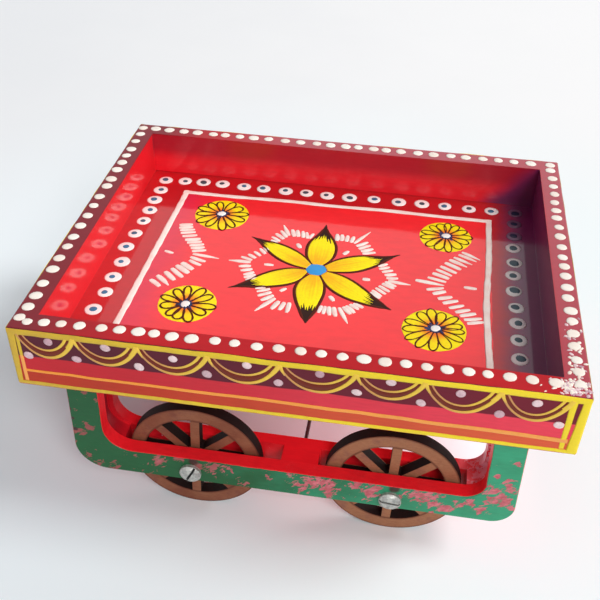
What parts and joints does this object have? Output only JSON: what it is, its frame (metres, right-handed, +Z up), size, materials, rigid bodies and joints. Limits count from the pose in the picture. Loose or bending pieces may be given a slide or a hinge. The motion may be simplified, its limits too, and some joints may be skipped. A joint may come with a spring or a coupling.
{
  "type": "hand-painted wooden tray cart",
  "caption": "Small painted wooden tray cart with a shallow open tray on slotted frames and free-turning spoked wheels.",
  "frame": {"origin": "on the ground, under the middle of the tray", "axes": "+X along the tray's length, -Y towards the pictured front side, +Z up"},
  "size_m": [0.254, 0.199, 0.1257],
  "materials": {
    "tray_paint": "hand-painted red gloss with cream dots and varnish",
    "frame_outer_paint": "green brush paint, chipped to pink undercoat, with glossy red edges",
    "frame_inner_paint": "glossy red paint",
    "wheel_board": "bare cut fibreboard with scorched dark edges",
    "screw_steel": "plain zinc-plated steel",
    "rod_paint": "dark maroon paint"
  },
  "bodies": {
    "root": {"tray_floor": "tray_paint", "tray_wall_front": "tray_paint", "tray_wall_back": "tray_paint", "tray_wall_left": "tray_paint", "tray_wall_right": "tray_paint", "frame_front_outer_panel": "frame_outer_paint", "frame_front_inner_panel": "frame_inner_paint", "frame_front_middle_block": "frame_inner_paint", "frame_front_left_block": "frame_inner_paint", "frame_front_right_block": "frame_inner_paint", "frame_back_outer_panel": "frame_outer_paint", "frame_back_inner_panel": "frame_inner_paint", "frame_back_middle_block": "frame_inner_paint", "frame_back_left_block": "frame_inner_paint", "frame_back_right_block": "frame_inner_paint", "axle_screw_front_left": "screw_steel", "axle_screw_front_right": "screw_steel", "axle_screw_back_left": "screw_steel", "axle_screw_back_right": "screw_steel", "tie_rod": "rod_paint"},
    "wheel_front_left": {"wheel_front_left": "wheel_board"},
    "wheel_front_right": {"wheel_front_right": "wheel_board"},
    "wheel_back_left": {"wheel_back_left": "wheel_board"},
    "wheel_back_right": {"wheel_back_right": "wheel_board"}
  },
  "joints": [
    {"name": "wheel_front_left_spin", "type": "hinge", "parent": "root", "child": "wheel_front_left", "pos_m": [-0.0504, -0.078, 0.0342], "axis": [0, 1, 0], "continuous": true},
    {"name": "wheel_front_right_spin", "type": "hinge", "parent": "root", "child": "wheel_front_right", "pos_m": [0.0504, -0.078, 0.0342], "axis": [0, 1, 0], "continuous": true},
    {"name": "wheel_back_left_spin", "type": "hinge", "parent": "root", "child": "wheel_back_left", "pos_m": [-0.0504, 0.078, 0.0342], "axis": [0, 1, 0], "continuous": true},
    {"name": "wheel_back_right_spin", "type": "hinge", "parent": "root", "child": "wheel_back_right", "pos_m": [0.0504, 0.078, 0.0342], "axis": [0, 1, 0], "continuous": true}
  ]
}
